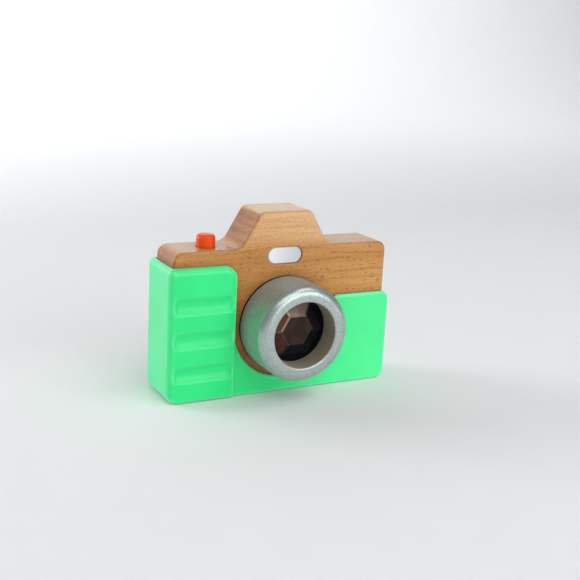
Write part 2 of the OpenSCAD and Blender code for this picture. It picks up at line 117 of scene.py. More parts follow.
def skinned(name, loops):
    """A solid through loops of points, with a face over the first loop and one over the last."""
    count = len(loops[0])
    points = [point for loop in loops for point in loop]
    faces = [list(range(count)), list(range(len(points) - count, len(points)))]
    for base in range(0, len(points) - count, count):
        for k in range(count):
            n = (k + 1) % count
            faces.append((base + k, base + n, base + count + n, base + count + k))
    return solid(name, points, faces)


def loft(name, corners, profile):
    """A solid through copies of an outline, one at each (y, inset) of the profile, from front to back."""
    return skinned(name, [[(x, y, z) for x, z in outline(corners, inset)] for y, inset in profile])


def arc(centre, r, start, end, step=6.0):
    """Points along an arc, with angles in degrees."""
    steps = max(1, math.ceil(abs(end - start) / step))
    angles = [math.radians(start + (end - start) * k / steps) for k in range(steps + 1)]
    return [(centre[0] + r * math.cos(a), centre[1] + r * math.sin(a)) for a in angles]


def eased(front, back, front_r, back_r, lip=0.6):
    """The profile of a slab with rounded front and back edges, and a narrow flat lip inside each round."""
    return (
        [(front, front_r + lip)]
        + arc((front + front_r, front_r), front_r, 180, 270, 10)
        + arc((back - back_r, back_r), back_r, 270, 360, 10)
        + [(back, back_r + lip)]
    )


def round_hole(x, z, r):
    return box_outline(x - r, x + r, z - r, z + r, r)


def box_outline(left, right, low, high, r):
    return [(left, low, r), (right, low, r), (right, high, r), (left, high, r)]


def turned(name, profile, place, axis="Z", count=144):
    """A solid turned from (radius, height) points round place, along Z, X or forward, which is -Y."""
    spin = {
        "Z": lambda x, y, h: (x, y, h),
        "X": lambda x, y, h: (h, x, y),
        "forward": lambda x, y, h: (x, -h, y),
    }[axis]
    on_axis = 1e-6
    points, rings, faces = [], [], []
    for radius, height in profile:
        around = 1 if radius < on_axis else count
        rings.append([len(points) + k % around for k in range(count)])
        for k in range(around):
            a = 2 * math.pi * k / count
            points.append(np.add(place, spin(radius * math.cos(a), radius * math.sin(a), height)))
    closing = [] if profile[0][0] < on_axis else [(rings[-1], rings[0])]
    for low, high in list(zip(rings, rings[1:])) + closing:
        for k in range(count):
            n = (k + 1) % count
            face = list(dict.fromkeys((low[k], low[n], high[n], high[k])))
            if len(face) > 2:
                faces.append(face)
    return solid(name, points, faces)


def bake(piece):
    """Makes what the piece's modifiers give its own plain mesh."""
    bpy.context.view_layer.update()
    evaluated = piece.evaluated_get(bpy.context.evaluated_depsgraph_get())
    made = bpy.data.meshes.new_from_object(evaluated)
    plain, piece.data = piece.data, made
    piece.modifiers.clear()
    bpy.data.meshes.remove(plain)
    made.name = piece.name


def carve(piece, *tools, operation="DIFFERENCE"):
    """Cuts the tools out of the piece, or joins them to it, and clears them away."""
    for tool in tools:
        cut = piece.modifiers.new(tool.name, "BOOLEAN")
        cut.object, cut.operation, cut.solver = tool, operation, "EXACT"
    bake(piece)
    for tool in tools:
        bpy.data.objects.remove(tool)


def smooth(piece, sharp=35):
    """Smooth shading that breaks at edges sharper than the angle."""
    piece.data.shade_smooth()
    piece.data.set_sharp_from_angle(angle=math.radians(sharp))


def settle(piece, sharp=35):
    """Smooth shading that also stays flat on flat faces."""
    smooth(piece, sharp)
    even = piece.modifiers.new("even_shading", "WEIGHTED_NORMAL")
    even.keep_sharp, even.weight = True, 100
    bake(piece)


lens_joint = next(joint for joint in frame["joints"] if joint["name"] == "lens_turn")
lens_x, _, lens_z = [v / mm for v in lens_joint["pos_m"]]
lens_place = (lens_x, 0, lens_z)
block_left, block_right, block_front, block_back, block_low, block_top = sides("wooden_body")
block_round, foot_r, shoulder_r, hump_foot_r, hump_r = 1.8, 3.0, 5.0, 6.0, 4.0
shoulder_z, hump_foot, hump_half = 75.2, 24.5, 14.0
block_corners = [
    (block_left, block_low, foot_r), (block_right, block_low, foot_r),
    (block_right, shoulder_z, shoulder_r), (hump_foot, shoulder_z, hump_foot_r),
    (hump_half, block_top, hump_r), (-hump_half, block_top, hump_r),
    (-hump_foot, shoulder_z, hump_foot_r), (block_left, shoulder_z, shoulder_r),
]
overrun, seat_lip = 1.0, 0.5
ahead, behind = block_front - overrun, block_back + overrun
front_lip = arc((block_front + seat_lip, -seat_lip), seat_lip, 180, 90, 15)

bore_r = 18.06
button_x, button_hole_r, button_hole_low, button_hole_high = -38.4, 4.85, 69.0, 77.0
hole_lip = arc((button_hole_r + seat_lip, shoulder_z - seat_lip), seat_lip, 180, 90, 15)

_, _, window_front, window_back, window_low, window_high = sides("flash_window")
window_half, window_gap, light_ledge = 9.4, 0.1, 1.1
window_r = (window_high - window_low) / 2
window_corners = box_outline(-window_half, window_half, window_low, window_high, window_r)
window_lip = [(y, inset - window_gap) for y, inset in [(ahead, -seat_lip)] + front_lip + [(window_back, 0)]]

pocket_front, pocket_r, pocket_floor = block_front + 5, 2.0, lens_z + bore_r + 5.4
wing_left, wing_top = block_left + 12.5, shoulder_z - 4.5
tower_half, tower_low, tower_top = 14.5, 62.0, shoulder_z + 9
cover_left, cover_right, cover_front, cover_back, cover_low, cover_top = sides("rear_cover")
cover_gap, cover_ledge, cover_r, cover_nook_r, ear_r = 0.15, 1.6, 2.0, 0.6, 3.2
cover_wing, cover_cap = wing_top + cover_ledge, tower_top + cover_ledge
cover_half = tower_half + cover_ledge
cover_corners = [
    (cover_left, cover_low, cover_r), (cover_right, cover_low, cover_r),
    (cover_right, cover_wing, cover_r), (cover_half, cover_wing, cover_nook_r),
    (cover_half, cover_cap, cover_r), (ear_r, cover_cap, cover_nook_r),
    (ear_r, cover_top, ear_r), (-ear_r, cover_top, ear_r),
    (-ear_r, cover_cap, cover_nook_r), (-cover_half, cover_cap, cover_r),
    (-cover_half, cover_wing, cover_nook_r), (cover_left, cover_wing, cover_r),
]
pocket = [(pocket_front, 0), (cover_front + overrun, 0)]
light_way = [(window_back - overrun / 2, light_ledge), (pocket_front + overrun, light_ledge)]

block = loft("beech_block", block_corners, eased(block_front, block_back, block_round, block_round))
carve(
    block,
    loft("lens_bore", round_hole(lens_x, lens_z, bore_r), [(ahead, -seat_lip)] + front_lip + [(behind, 0)]),
    loft("flash_seat", window_corners, window_lip),
    loft("light_way", window_corners, light_way),
    turned(
        "button_hole",
        [(0, button_hole_low), (button_hole_r, button_hole_low)]
        + hole_lip
        + [(button_hole_r + seat_lip, button_hole_high), (0, button_hole_high)],
        (button_x, 0, 0),
    ),
    loft("cover_seat", cover_corners, [(cover_front, -cover_gap), (behind, -cover_gap)]),
    loft("wing_pocket", box_outline(wing_left, tower_half, pocket_floor, wing_top, pocket_r), pocket),
    loft("tower_pocket", box_outline(-tower_half, tower_half, tower_low, tower_top, pocket_r), pocket),
)
settle(block)


def srgb(*values):
    """A linear colour from the 0 to 255 values that a picture shows."""
    shares = [value / 255 for value in values]
    return tuple(s / 12.92 if s < 0.0404 else ((s + 0.055) / 1.055) ** 2.4 for s in shares) + (1.0,)


def grey(value):
    return (value, value, value, 1.0)


def node(tree, kind, inputs=None, **properties):
    """A new node with its properties, and its inputs set to values or linked to sockets."""
    made = tree.nodes.new(kind)
    for name, value in properties.items():
        setattr(made, name, value)
    for socket, value in (inputs or {}).items():
        if isinstance(value, bpy.types.NodeSocket):
            tree.links.new(value, made.inputs[socket])
        else:
            made.inputs[socket].default_value = value
    return made


def output(kind, inputs, which=0, **properties):
    """An output of a new node, in the tree of the sockets that feed it."""
    tree = next(value.id_data for value in inputs.values() if isinstance(value, bpy.types.NodeSocket))
    return node(tree, kind, inputs, **properties).outputs[which]


def finish(name, **constants):
    """A new material, its shader with constants on the shader's own sockets, and Object coordinates."""
    material = bpy.data.materials.new(name)
    material.use_nodes = True
    shader = material.node_tree.nodes["Principled BSDF"]
    for socket, value in constants.items():
        shader.inputs[socket.replace("_", " ")].default_value = value
    return material, shader, node(material.node_tree, "ShaderNodeTexCoord").outputs["Object"]


def feed(shader, **sources):
    """Links sources to the shader's inputs of these names."""
    for socket, source in sources.items():
        shader.id_data.links.new(source, shader.inputs[socket.replace("_", " ")])


def tones(factor, *stops):
    """A colour ramp over a factor, from (position, colour) stops."""
    strip = node(factor.id_data, "ShaderNodeValToRGB", {"Fac": factor})
    elements = strip.color_ramp.elements
    while len(elements) < len(stops):
        elements.new(0.5)
    for element, (position, colour) in zip(elements, stops):
        element.position, element.color = position, colour
    return strip.outputs["Color"]


def fade(value, start, end):
    """0 where the value is at start, 1 where it is at end, and even between them."""
    return output("ShaderNodeMapRange", {"Value": value, 1: start, 2: end}, clamp=True)


def split(vector):
    return node(vector.id_data, "ShaderNodeSeparateXYZ", {"Vector": vector}).outputs


def noise(coords, grain, detail=3.0, roughness=0.55):
    """Noise with this number of cycles a metre along every axis, or with one number for each axis."""
    scale = [float(s) for s in np.broadcast_to(grain, 3)]
    stretched = output("ShaderNodeMapping", {"Vector": coords, "Scale": scale})
    settings = {"Vector": stretched, "Scale": 1.0, "Detail": detail, "Roughness": roughness}
    return output("ShaderNodeTexNoise", settings)


def mixed(factor, a, b, blend="MIX"):
    return output("ShaderNodeMix", {"Factor": factor, 6: a, 7: b}, 2, data_type="RGBA", blend_type=blend)


def times(a, b, share=1.0):
    """One colour multiplied by another, or by a share of it."""
    return mixed(share, a, b, "MULTIPLY")


def relief(shader, height, depth, strength=1.0):
    """A bump of the given depth in metres."""
    settings = {"Height": height, "Distance": depth, "Strength": strength}
    feed(shader, Normal=output("ShaderNodeBump", settings))


def fit(piece, material, body, slot, *nodes):
    """Gives a finished piece its material and body, and hides the CAD nodes that it stands for. Its slot is
    not used.
    """
    piece.data.materials.clear()
    piece.data.materials.append(material)
    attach(piece, body)
    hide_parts(*nodes)


def ray_flecks(coords, length, height, thin, share):
    """Short dark rays along the grain: 1 inside a ray and 0 elsewhere."""
    scale = (1 / length, 1 / height, 1 / height)
    stretched = output("ShaderNodeMapping", {"Vector": coords, "Scale": scale})
    wobble = noise(coords, (160, 500, 500), 1.0)
    bent = output("ShaderNodeVectorMath", {0: stretched, 1: wobble}, operation="ADD")
    cells = node(bent.id_data, "ShaderNodeTexVoronoi", {"Vector": bent, "Scale": 1.0}).outputs
    chance = output("ShaderNodeSeparateColor", {"Color": cells["Color"]})
    ray = tones(cells["Distance"], (thin * 0.5, grey(1)), (thin, grey(0)))
    return times(ray, tones(chance, (share, grey(1)), (share + 0.03, grey(0))))


beech, shader, coords = finish(
    "oiled_beech", Specular_IOR_Level=0.1, Coat_Weight=0.85, Coat_IOR=1.33, Coat_Roughness=0.2
)
bands = noise(coords, (7, 60, 60), 2.0)
streaks = noise(coords, (26, 620, 620), 4.0, 0.65)
pores = noise(coords, (700, 3600, 3600), 2.0)
rings = noise(coords, (90, 30, 420))
along, _, height = split(coords)
# Darker towards the left and paler towards the right: painted shade on the block's left and painted light
# on its right.
toward_right = fade(along, -30 * mm, 35 * mm)
up_hump = fade(height, 74 * mm, 82 * mm)
face_normal = node(shader.id_data, "ShaderNodeNewGeometry").outputs["True Normal"]
facing = output("ShaderNodeVectorMath", {0: face_normal}, operation="ABSOLUTE")
sideways = split(facing)["X"]
# The hump's front and top are paler than the rest of the block.
pale_hump = times(up_hump, tones(sideways, (0.50, grey(1)), (0.84, grey(0))))
# Faces that look along X are darker, with year rings: end grain, and also painted shade on the hump's
# flank.
end_grain_and_flank_shade = tones(sideways, (0.55, grey(0)), (0.86, grey(1)))
year_rings = tones(rings, (0.36, (0.54, 0.42, 0.30, 1.0)), (0.62, (0.86, 0.74, 0.62, 1.0)))
painted_light_across = tones(toward_right, (0.0, (0.80, 0.75, 0.68, 1.0)), (1.0, (0.91, 0.92, 0.95, 1.0)))
fine_grain = tones(streaks, (0.34, grey(0.68)), (0.55, grey(1.0)), (0.76, grey(1.16)))
plank = tones(bands, (0.30, srgb(188, 129, 67)), (0.50, srgb(198, 141, 77)), (0.72, srgb(208, 153, 92)))
plank = mixed(pale_hump, plank, srgb(222, 176, 126))
plank = times(plank, painted_light_across)
plank = mixed(end_grain_and_flank_shade, plank, times(plank, year_rings))
plank = times(plank, fine_grain, 0.6)

long_rays = ray_flecks(coords, 3.8 * mm, 1.0 * mm, 0.34, 0.45)
fine_rays = ray_flecks(coords, 1.8 * mm, 0.5 * mm, 0.40, 0.55)
short_rays = times(ray_flecks(coords, 1.2 * mm, 0.6 * mm, 0.42, 0.55), grey(0.6))
rays = mixed(up_hump, mixed(0.6, long_rays, fine_rays, "LIGHTEN"), short_rays)
plank = mixed(times(rays, grey(0.64)), plank, srgb(112, 62, 30))
# The AO node darkens the wood near other surfaces: painted shade in the corners, along the boot's edges and
# round the barrel.
nooks = node(shader.id_data, "ShaderNodeAmbientOcclusion", {"Distance": 12 * mm}, samples=8).outputs["AO"]
painted_corner_shade = tones(nooks, (0.30, (0.50, 0.45, 0.34, 1.0)), (0.85, grey(1.0)))
sanded = tones(streaks, (0.3, grey(0.52)), (0.7, grey(0.40)))
feed(shader, Base_Color=times(plank, painted_corner_shade), Roughness=sanded)
relief(shader, mixed(0.5, pores, streaks), 0.06 * mm, 0.6)
fit(block, beech, "camera_body", "beech", "wooden_body")


# Silicone boot
# A soft mint green boot, moulded in one piece and stretched over the lower half of the block.
# One side rises to a grip with three finger grooves, and the other is low.
# A round cut-out leaves room for the lens.

def distance_table(points, step=0.25, pad=8.0):
    """A function for the signed distance from a closed outline, negative inside, and for its slope along
    the first axis. Both are read from a fine table."""
    low = points.min(0) - pad
    counts = np.ceil((points.max(0) + pad - low) / step).astype(int) + 1
    u, v = np.meshgrid(*[start + step * np.arange(n) for start, n in zip(low, counts)], indexing="ij")
    nearest, inside = np.full(u.shape, np.inf), np.zeros(u.shape, bool)
    for a, b in zip(points, np.roll(points, -1, axis=0)):
        run = b - a
        if run @ run < 1e-12:
            continue
        t = np.clip(((u - a[0]) * run[0] + (v - a[1]) * run[1]) / (run @ run), 0, 1)
        nearest = np.minimum(nearest, (u - a[0] - t * run[0]) ** 2 + (v - a[1] - t * run[1]) ** 2)
        if a[1] != b[1]:
            inside ^= ((a[1] > v) != (b[1] > v)) & (u < run[0] * (v - a[1]) / run[1] + a[0])
    table = np.where(inside, -1, 1) * np.sqrt(nearest)
    table = np.stack([table, np.gradient(table, step, axis=0)], -1)

    def distance(p, q):
        i, j = (p - low[0]) / step, (q - low[1]) / step
        i0 = np.clip(i.astype(int), 0, counts[0] - 2)
        j0 = np.clip(j.astype(int), 0, counts[1] - 2)
        fi, fj = np.clip(i - i0, 0, 1)[:, None], np.clip(j - j0, 0, 1)[:, None]
        near = table[i0, j0] * (1 - fj) + table[i0, j0 + 1] * fj
        far = table[i0 + 1, j0] * (1 - fj) + table[i0 + 1, j0 + 1] * fj
        return (near * (1 - fi) + far * fi).T

    return distance


def meet(a, b, r, lean=0.0):
    """Inside both of two distances, with the edge rounded. Lean is the cosine between their directions."""
    past_a, past_b = a + r, b + r
    further = np.maximum(past_a, past_b)
    lean = np.minimum(lean, 1.0)
    edge = (past_a > lean * past_b) & (past_b > lean * past_a) & (further > 0) & (lean < 0.999)
    square = np.maximum(past_a ** 2 + past_b ** 2 - 2 * lean * past_a * past_b, 0)
    corner = np.sqrt(square / np.maximum(1 - lean ** 2, 1e-3))
    return np.minimum(-r, np.maximum(a, b)) + np.where(edge, corner, np.maximum(further, 0))


def neighbours(axis, rest):
    """The grid points that have a next one along an axis, and those next ones."""
    first, second = [rest] * 3, [rest] * 3
    first[axis], second[axis] = slice(0, -1), slice(1, None)
    return tuple(first), tuple(second)


def crossing_points(grid, values, cell):
    """The middle of the level's crossings with each cell's edges, and the cells' point numbers."""
    cells = tuple(n - 1 for n in values.shape)
    total, count = np.zeros(cells + (3,)), np.zeros(cells)
    for axis in range(3):
        p, q = [k for k in range(3) if k != axis]
        first, second = neighbours(axis, slice(None))
        a, b = values[first], values[second]
        crossed = (a < 0) != (b < 0)
        point = grid[first].copy()
        point[..., axis] += cell * np.where(crossed, a / np.where(crossed, a - b, 1), 0)
        for dp, dq in ((0, 0), (0, 1), (1, 0), (1, 1)):
            part = [slice(None)] * 3
            part[p], part[q] = slice(dp, dp + cells[p]), slice(dq, dq + cells[q])
            hit = crossed[tuple(part)]
            total += point[tuple(part)] * hit[..., None]
            count += hit
    used = count > 0
    number = np.full(cells, -1)
    number[used] = np.arange(used.sum())
    return total[used] / count[used][:, None], number


def crossing_faces(inside, number):
    """A four-sided face through the four cells round each grid edge that the level crosses."""
    faces = []
    for axis in range(3):
        p, q = (axis + 1) % 3, (axis + 2) % 3
        first, second = neighbours(axis, slice(1, -1))
        at = np.argwhere(inside[first] != inside[second])
        outwards = inside[first][tuple(at.T)]
        ring = []
        for dp, dq in ((0, 0), (1, 0), (1, 1), (0, 1)):
            corner = at.copy()
            corner[:, p] += dp
            corner[:, q] += dq
            ring.append(number[tuple(corner.T)])
        ring = np.stack(ring, 1)
        faces.append(np.where(outwards[:, None], ring, ring[:, ::-1]))
    return np.concatenate(faces).tolist()


def cast(name, field, low, high, cell):
    """A mesh of the zero level of a distance field, with a point in each cell that the level crosses."""
    axes = [np.arange(a, b + cell, cell) for a, b in zip(low, high)]
    grid = np.stack(np.meshgrid(*axes, indexing="ij"), -1)
    values = field(grid.reshape(-1, 3)).reshape(grid.shape[:3])
    points, number = crossing_points(grid, values, cell)

    def slope(at, reach=0.06):
        return np.stack([field(at + s) - field(at - s) for s in np.eye(3) * reach], 1) / (2 * reach)

    for _ in range(3):
        lean = slope(points)
        move = -field(points)[:, None] * lean / np.maximum((lean ** 2).sum(1), 0.25)[:, None]
        points += move * np.minimum(1, 0.6 * cell / np.maximum(np.linalg.norm(move, axis=1), 1e-9))[:, None]
    normals = slope(points)
    mesh = bpy.data.meshes.new(name)
    mesh.from_pydata(points * mm, [], crossing_faces(values < 0, number))
    mesh.shade_smooth()
    mesh.normals_split_custom_set_from_vertices(normals / np.linalg.norm(normals, axis=1)[:, None])
    return stand(name, mesh)


boot_left, boot_right, grip_front, boot_back, boot_low, grip_top = sides("silicone_boot")
boot_front, low_top, ear_edge = grip_front + 1.8, 48.5, boot_left + 7.6
front_room_r, back_room_r = 27.9, 23.2
room_left, back_room_left = lens_x - front_room_r, lens_x - back_room_r
boot_r, rim_r, grip_r, upright_r, low_upright_r = 5.3, 2.8, 6.2, 3.4, 1.7
step_r, step_foot_r, curve_step = 1.0, 0.6, 4.0


def boot_side(room_r, rim):
    """The distance from the outline of the front or the back, whose rim leads from the lens to the grip."""
    around = outline([
        (lens_x - room_r, lens_z, 0), *rim, (boot_left, grip_top, rim_r), (boot_left, boot_low, boot_r),
        (boot_right, boot_low, boot_r), (boot_right, low_top, boot_r),
        (lens_x + room_r, low_top, rim_r), (lens_x + room_r, lens_z, 0),
    ], step=curve_step)
    return distance_table(np.vstack([around, arc((lens_x, lens_z), room_r, -3, -177, 3)]))


boot_face = boot_side(front_room_r, [(room_left, grip_top, grip_r)])
boot_rear = boot_side(back_room_r, [
    (back_room_left, low_top, rim_r), (ear_edge, low_top, boot_r), (ear_edge, grip_top, rim_r),
])
boot_plan = distance_table(outline([
    (boot_left, grip_front, upright_r), (room_left, grip_front, step_r),
    (room_left, boot_front, step_foot_r), (boot_right, boot_front, low_upright_r),
    (boot_right, boot_back, upright_r), (boot_left, boot_back, upright_r),
], step=curve_step))

edge_r, low_edge_r, grip_edge_r, inner_edge_r = 2.1, 1.3, 3.4, 0.5
low_side_starts, low_side_ends = -30.0, -22.0
grip_top_starts, grip_top_ends = 46.0, 58.0
side_play, face_play = 0.1, 0.15
hold_half, hold_low, hold_depth = block_right + side_play, block_low - side_play, block_back + face_play
groove_count, groove_low, groove_pitch, groove_w, groove_depth = 3, 14.9, 17.2, 8.0, 1.5
groove_left, groove_right, groove_end_r, groove_lip_r = boot_left + 2.4, room_left - 1.3, 2.6, 0.7
groove_r = ((groove_w / 2) ** 2 + groove_depth ** 2) / (2 * groove_depth)


def ramp(value, start, end):
    """0 before start, 1 after end, and smooth between them."""
    t = np.clip((value - start) / (end - start), 0, 1)
    return t * t * (3 - 2 * t)


def boot_field(at):
    """The boot's signed distance: its outside, less the room for the block, less the finger grooves."""
    x, y, z = at.T
    round_r = (
        edge_r
        + (low_edge_r - edge_r) * ramp(x, low_side_starts, low_side_ends)
        + (grip_edge_r - edge_r) * ramp(z, grip_top_starts, grip_top_ends)
    )
    upright, upright_lean = np.where(y < 0, boot_face(x, z), boot_rear(x, z))
    flat, flat_lean = boot_plan(x, y)
    shell = meet(upright, flat, round_r, upright_lean * flat_lean)
    hold_x, hold_z = np.abs(x) - hold_half + foot_r, hold_low - z + foot_r
    hold = np.hypot(np.maximum(hold_x, 0), np.maximum(hold_z, 0))
    hold += np.minimum(np.maximum(hold_x, hold_z), 0) - foot_r
    shell = meet(shell, -np.maximum(hold, np.abs(y) - hold_depth), inner_edge_r)
    ends = np.abs(x - (groove_left + groove_right) / 2) - (groove_right - groove_left) / 2
    for k in range(groove_count):
        groove_z = groove_low + groove_pitch * k
        finger = np.hypot(y - (grip_front + groove_depth - groove_r), z - groove_z) - groove_r
        shell = meet(shell, -meet(finger, ends, groove_end_r), groove_lip_r)
    return shell


margin, cell_size = 1.5, 0.76
boot = cast(
    "mint_boot", boot_field,
    (boot_left - margin, grip_front - margin, boot_low - margin),
    (boot_right + margin, boot_back + margin, grip_top + margin), cell_size,
)

silicone, shader, coords = finish(
    "soft_silicone", Subsurface_Weight=0.06, Subsurface_Radius=(0.3, 1.0, 0.5), Subsurface_Scale=1.5 * mm,
    Specular_IOR_Level=0.45, Sheen_Weight=0.6, Sheen_Roughness=0.45, Sheen_Tint=(0.6, 0.85, 1.0, 1.0),
)
cloud = noise(coords, 45, 2.0)
skin = noise(coords, 2600, 2.0)
# The low side on the right is paler: painted light, as if a lamp stood nearer that side.
low_side = fade(split(coords)["X"], -20 * mm, 50 * mm)
# Sharp convex edges are paler: painted highlights along the edges.
pointed = node(shader.id_data, "ShaderNodeNewGeometry").outputs["Pointiness"]
painted_edge_highlight = tones(pointed, (0.508, grey(0)), (0.565, grey(0.45)))
mint = tones(cloud, (0.3, srgb(24, 214, 117)), (0.7, srgb(34, 222, 125)))
lit_mint = tones(cloud, (0.3, srgb(66, 230, 140)), (0.7, srgb(74, 236, 146)))
mint = mixed(painted_edge_highlight, mixed(low_side, mint, lit_mint), srgb(150, 250, 196))
feed(shader, Base_Color=mint, Roughness=tones(skin, (0.3, grey(0.30)), (0.7, grey(0.38))))
relief(shader, skin, 0.03 * mm, 0.5)
fit(boot, silicone, "camera_body", "silicone", "silicone_boot")


# Felt washer
# A ring of pressed black felt, glued to the block round the bore, that the barrel turns against. Its
# near-black colour is also painted shade for the gap at the barrel's foot.

def dress(material, *nodes):
    """Gives CAD nodes that show as they are their material."""
    for name in nodes:
        for slot in frame["nodes"][name].material_slots:
            slot.material = material


felt, shader, coords = finish("pressed_felt", Specular_IOR_Level=0.1)
fibres = noise(coords, (2200, 2200, 5200), 4.0, 0.7)
# Near black: the felt's own colour and painted shade in the gap at the barrel's foot.
black_and_gap_shade = tones(fibres, (0.3, srgb(5, 5, 6)), (0.75, srgb(20, 19, 19)))
feed(shader, Base_Color=black_and_gap_shade, Roughness=tones(fibres, (0.3, grey(0.95)), (0.7, grey(0.85))))
relief(shader, fibres, 0.3 * mm, 0.8)
dress(felt, "felt_washer")


# Lens barrel
# A barrel turned from wood, with a rounded nose and a deep mouth, sprayed with satin silver paint.
# It is glued to the tube that turns in the block.

barrel_front, barrel_back = [-y for y in sides("lens_barrel")[2:4]]
barrel_r, heel, nose_r, mouth_r, mouth_lip_r = 24.5, 0.3, 4.5, 16.8, 0.8
glass_seat, tube_seat_r = 24.4, 18.03
fine_round = 192

barrel = turned(
    "silver_barrel",
    [(tube_seat_r, barrel_back), (barrel_r - heel, barrel_back), (barrel_r, barrel_back + heel)]
    + arc((barrel_r - nose_r, barrel_front - nose_r), nose_r, 0, 90, 5)
    + arc((mouth_r + mouth_lip_r, barrel_front - mouth_lip_r), mouth_lip_r, 90, 180, 15)
    + [(mouth_r, glass_seat), (tube_seat_r, glass_seat)],
    lens_place, "forward", fine_round,
)
settle(barrel)

silver, shader, coords = finish("silver_paint")
flakes = noise(coords, 2000, 3.0, 0.7)
drift = noise(coords, 120, 2.0)
axis_place = [v * mm for v in lens_place]
from_axis = output("ShaderNodeVectorMath", {0: coords, 1: axis_place}, operation="SUBTRACT")
from_axis = output("ShaderNodeVectorMath", {0: from_axis, 1: (1, 0, 1)}, operation="MULTIPLY")
from_axis = output("ShaderNodeVectorMath", {0: from_axis}, "Value", operation="LENGTH")
depth = split(coords)["Y"]
in_front = fade(depth, -20 * mm, -22 * mm)
inside = times(fade(from_axis, (mouth_r + 0.4) * mm, (mouth_r + 0.1) * mm), in_front)
worn_nose = mixed(inside, fade(depth, -29 * mm, -33 * mm), grey(0))
sprayed = tones(flakes, (0.32, srgb(138, 151, 148)), (0.68, srgb(202, 214, 210)))
sprayed = times(sprayed, tones(drift, (0.3, grey(0.86)), (0.7, grey(1.0))), 0.35)
# Inside the mouth the colour is browner.
mouth_tint = tones(flakes, (0.32, srgb(178, 172, 150)), (0.68, srgb(202, 196, 173)))
satin = tones(flakes, (0.3, grey(0.68)), (0.7, grey(0.58)))
polished = tones(flakes, (0.3, grey(0.37)), (0.7, grey(0.26)))
feed(
    shader, Base_Color=mixed(inside, sprayed, mouth_tint),
    Roughness=mixed(worn_nose, satin, polished),
    Metallic=tones(worn_nose, (0.0, grey(0.72)), (1.0, grey(0.78))),
)
relief(shader, flakes, 0.05 * mm, 0.6)
fit(barrel, silver, "lens", "silver_paint", "lens_barrel")


# Kaleidoscope glass
# A disc of smoked acrylic, moulded and polished, with a flat table and six facets that multiply the view.
# It sits on a ledge inside the barrel, held there by the tube.

table_front, glass_back = [-y for y in sides("kaleidoscope_glass")[2:4]]
glass_r, facet_foot, facet_foot_r, table_r, facet_edge = 17.97, glass_seat - 0.04, 15.62, 8.74, 0.55
plain_round = 96

glass = turned(
    "facet_glass", [(0, glass_back), (glass_r, glass_back), (glass_r, facet_foot), (0, facet_foot)],
    lens_place, "forward", plain_round,
)
facets = 6
facet_turn = 360 / facets
corner_turns = [math.radians(facet_turn * k) for k in range(facets)]
levels = ((facet_foot_r, glass_back + overrun), (facet_foot_r, facet_foot), (table_r, table_front))
gem = skinned("facets", [
    [(lens_x + r * math.cos(a), -forward, lens_z + r * math.sin(a)) for a in corner_turns]
    for r, forward in levels
])
bevel = gem.modifiers.new("polished_edges", "BEVEL")
bevel.width, bevel.segments = facet_edge * mm, 1
bevel.limit_method, bevel.angle_limit = "ANGLE", math.radians(12)
bake(gem)
carve(glass, gem, operation="UNION")

# The faces are coloured one by one: brown painted reflections of the wood on the table and the upper and
# left facets, bright painted highlights along the edges and corners, and near-black painted shade on the
# right and lower facets.
painted_facet_light = [(20, 14, 17), (128, 106, 94), (98, 61, 46), (66, 43, 35), (4, 11, 20), (3, 9, 16)]
painted_edge_glints = [(46, 36, 36), (120, 98, 86), (144, 120, 104), (70, 49, 40), (9, 14, 22), (7, 12, 20)]
painted_corner_glints = [(16, 15, 20), (58, 48, 46), (166, 144, 128), (104, 78, 64), (28, 22, 24), (6, 10, 17)]
painted_tip_glints = [painted_edge_glints[k] for k in (0, 1, 1, 3, 3, 5)]
painted_table_reflection, rim_tint = (47, 35, 29), (4, 5, 8)
table_level, edge_level, tip_level, corner_level, facet_level = 0.995, 0.968, 0.95, 0.905, 0.3
table_slack = 0.1
tints = glass.data.color_attributes.new("facet_tint", "FLOAT_COLOR", "CORNER")
for face in glass.data.polygons:
    away = Vector(face.center) / mm - Vector(lens_place)
    turn = math.degrees(math.atan2(away.z, away.x)) % 360
    level = -face.normal.y
    colour = rim_tint
    if level > table_level and -away.y > table_front - table_slack:
        colour = painted_table_reflection
    elif edge_level < level < table_level:
        colour = painted_edge_glints[int(turn // facet_turn)]
    elif tip_level < level < edge_level:
        colour = painted_tip_glints[round(turn / facet_turn) % facets]
    elif corner_level < level < tip_level:
        colour = painted_corner_glints[round(turn / facet_turn) % facets]
    elif facet_level < level < corner_level:
        colour = painted_facet_light[int(turn // facet_turn)]
    shine = 0.0 if colour == rim_tint else 1.0
    for loop in face.loop_indices:
        tints.data[loop].color = srgb(*colour)[:3] + (shine,)
settle(glass, 8)

smoke, shader, coords = finish("smoked_acrylic", Specular_IOR_Level=0.13)
facet, shine = node(shader.id_data, "ShaderNodeVertexColor", layer_name="facet_tint").outputs
slant = {"Vector": coords, "Rotation": (0.3, 0.5, 0.2), "Scale": (190, 60, 120)}
slanted = output("ShaderNodeMapping", slant)
# The shards vary the painted facet light with painted glints.
shards = output("ShaderNodeTexVoronoi", {"Vector": slanted, "Scale": 1.0}, "Color")
splinter = output("ShaderNodeSeparateColor", {"Color": shards}, "Green")
glints = tones(splinter, (0.2, grey(0.7)), (0.55, grey(0.95)), (0.9, grey(1.25)))
feed(
    shader, Base_Color=times(facet, glints, 0.7),
    Roughness=tones(shine, (0.0, grey(0.95)), (1.0, grey(0.08))),
)
fit(glass, smoke, "lens", "smoked_acrylic", "kaleidoscope_glass")


# Lens tube
# A tube moulded in black plastic that carries the lens through the block and turns in its bore.

